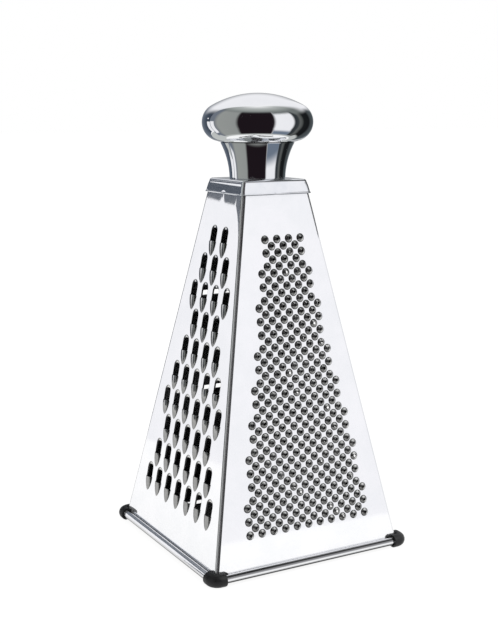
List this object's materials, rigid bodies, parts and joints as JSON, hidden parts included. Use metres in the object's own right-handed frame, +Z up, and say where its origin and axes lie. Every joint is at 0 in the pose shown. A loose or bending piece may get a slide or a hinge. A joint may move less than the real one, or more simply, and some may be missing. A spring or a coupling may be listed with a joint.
{
  "type": "box grater",
  "caption": "Tall four-sided pyramid grater of polished sheet, with shredding, slicing and fine faces, a mushroom knob on a square cap, and moulded corner feet.",
  "frame": {"origin": "on the surface that the grater stands on, under the middle of its base", "axes": "+Z up through the knob, -Y out of the fine face, -X out of the coarse face, +X out of the medium face, +Y out of the slicing face"},
  "size_m": [0.1214, 0.1214, 0.2395],
  "materials": {
    "polished_sheet": "mirror-polished stainless sheet",
    "chrome_knob": "mirror chrome",
    "pressed_cap": "polished stainless",
    "black_feet": "satin moulded plastic",
    "fastener": "bright zinc"
  },
  "bodies": {
    "root": {"fine_panel": "polished_sheet", "medium_panel": "polished_sheet", "slicer_panel": "polished_sheet", "coarse_panel": "polished_sheet", "foot_coarse_fine": "black_feet", "foot_fine_medium": "black_feet", "foot_medium_slicer": "black_feet", "foot_slicer_coarse": "black_feet", "top_cap": "pressed_cap", "knob_neck": "chrome_knob", "knob_head": "chrome_knob", "knob_post": "fastener", "knob_screw": "fastener", "knob_washer": "fastener"}
  },
  "joints": []
}
